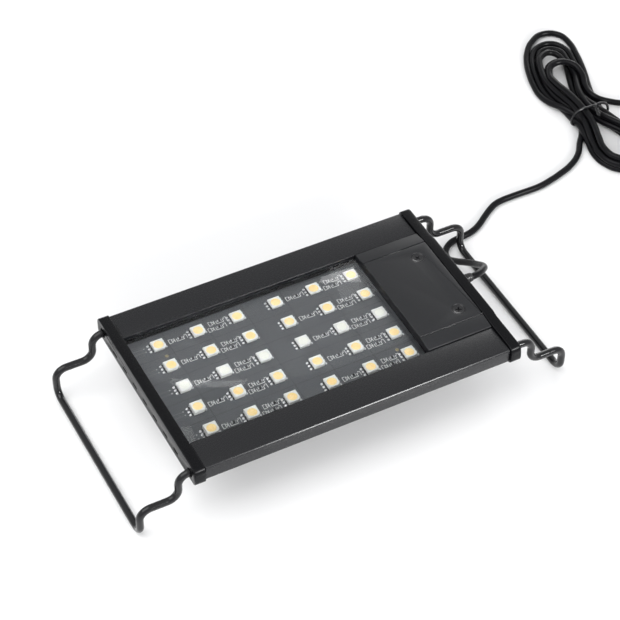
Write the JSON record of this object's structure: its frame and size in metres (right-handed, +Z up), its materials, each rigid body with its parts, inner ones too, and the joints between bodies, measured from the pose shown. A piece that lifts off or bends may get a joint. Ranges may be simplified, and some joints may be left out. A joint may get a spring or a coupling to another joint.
{
  "type": "led aquarium light",
  "caption": "Flat rectangular LED aquarium light standing on two sliding wire brackets, with a driver lid and a bundled low-voltage cord.",
  "frame": {"origin": "on the surface the brackets stand on, midway between the two crossbars and between the two rails", "axes": "+X along the lamp towards the driver end where the cord leaves, +Z up, LEDs facing up"},
  "size_m": [0.3085, 0.1864, 0.0308],
  "materials": {
    "anodised_aluminium": "fine satin, black anodised",
    "black_plastic": "moulded, fine texture",
    "painted_lid": "satin black paint",
    "board_mask": "slate grey solder mask",
    "driver_mask": "green solder mask",
    "led_warm": "white package, yellow phosphor",
    "led_cool": "white package, white phosphor",
    "clear_acrylic": "clear, polished",
    "black_screw": "black oxide",
    "painted_wire": "gloss black paint on steel wire",
    "cord_sheath": "soft black PVC",
    "nickel_plate": "nickel plate",
    "red_insulation": "red PVC",
    "ferrite": "dark grey ferrite"
  },
  "bodies": {
    "lamp": {"housing_extrusion": "anodised_aluminium", "end_cap_left": "black_plastic", "end_cap_right": "black_plastic", "led_board": "board_mask", "clear_cover": "clear_acrylic", "driver_cover": "painted_lid", "cover_screw_near": "black_screw", "cover_screw_far": "black_screw", "driver_board": "driver_mask", "driver_chip": "black_plastic", "inductor": "ferrite", "capacitor": "nickel_plate", "supply_wire_positive": "red_insulation", "supply_wire_negative": "cord_sheath", "strain_relief": "cord_sheath", "cord_lead": "cord_sheath", "cord_hank": "cord_sheath", "cord_tail": "cord_sheath", "cord_tie": "cord_sheath", "connector_body": "cord_sheath", "connector_barrel": "nickel_plate", "led_1_1": "led_warm", "led_1_2": "led_warm", "led_1_3": "led_warm", "led_1_4": "led_warm", "led_1_5": "led_warm", "led_1_6": "led_warm", "led_2_1": "led_warm", "led_2_2": "led_warm", "led_2_3": "led_warm", "led_2_4": "led_warm", "led_2_5": "led_warm", "led_2_6": "led_warm", "led_3_1": "led_cool", "led_3_2": "led_cool", "led_3_3": "led_cool", "led_3_4": "led_cool", "led_3_5": "led_cool", "led_3_6": "led_cool", "led_4_1": "led_warm", "led_4_2": "led_warm", "led_4_3": "led_warm", "led_4_4": "led_warm", "led_4_5": "led_warm", "led_4_6": "led_warm", "led_5_1": "led_warm", "led_5_2": "led_warm", "led_5_3": "led_warm", "led_5_4": "led_warm", "led_5_5": "led_warm", "led_5_6": "led_warm"},
    "left_bracket": {"left_bracket": "painted_wire"},
    "right_bracket": {"right_bracket": "painted_wire"}
  },
  "joints": [
    {"name": "left_bracket_slide", "type": "slide", "parent": "lamp", "child": "left_bracket", "axis": [-1, 0, 0], "range_m": [-0.0015, 0.045]},
    {"name": "right_bracket_slide", "type": "slide", "parent": "lamp", "child": "right_bracket", "axis": [1, 0, 0], "range_m": [-0.0015, 0.045]}
  ]
}
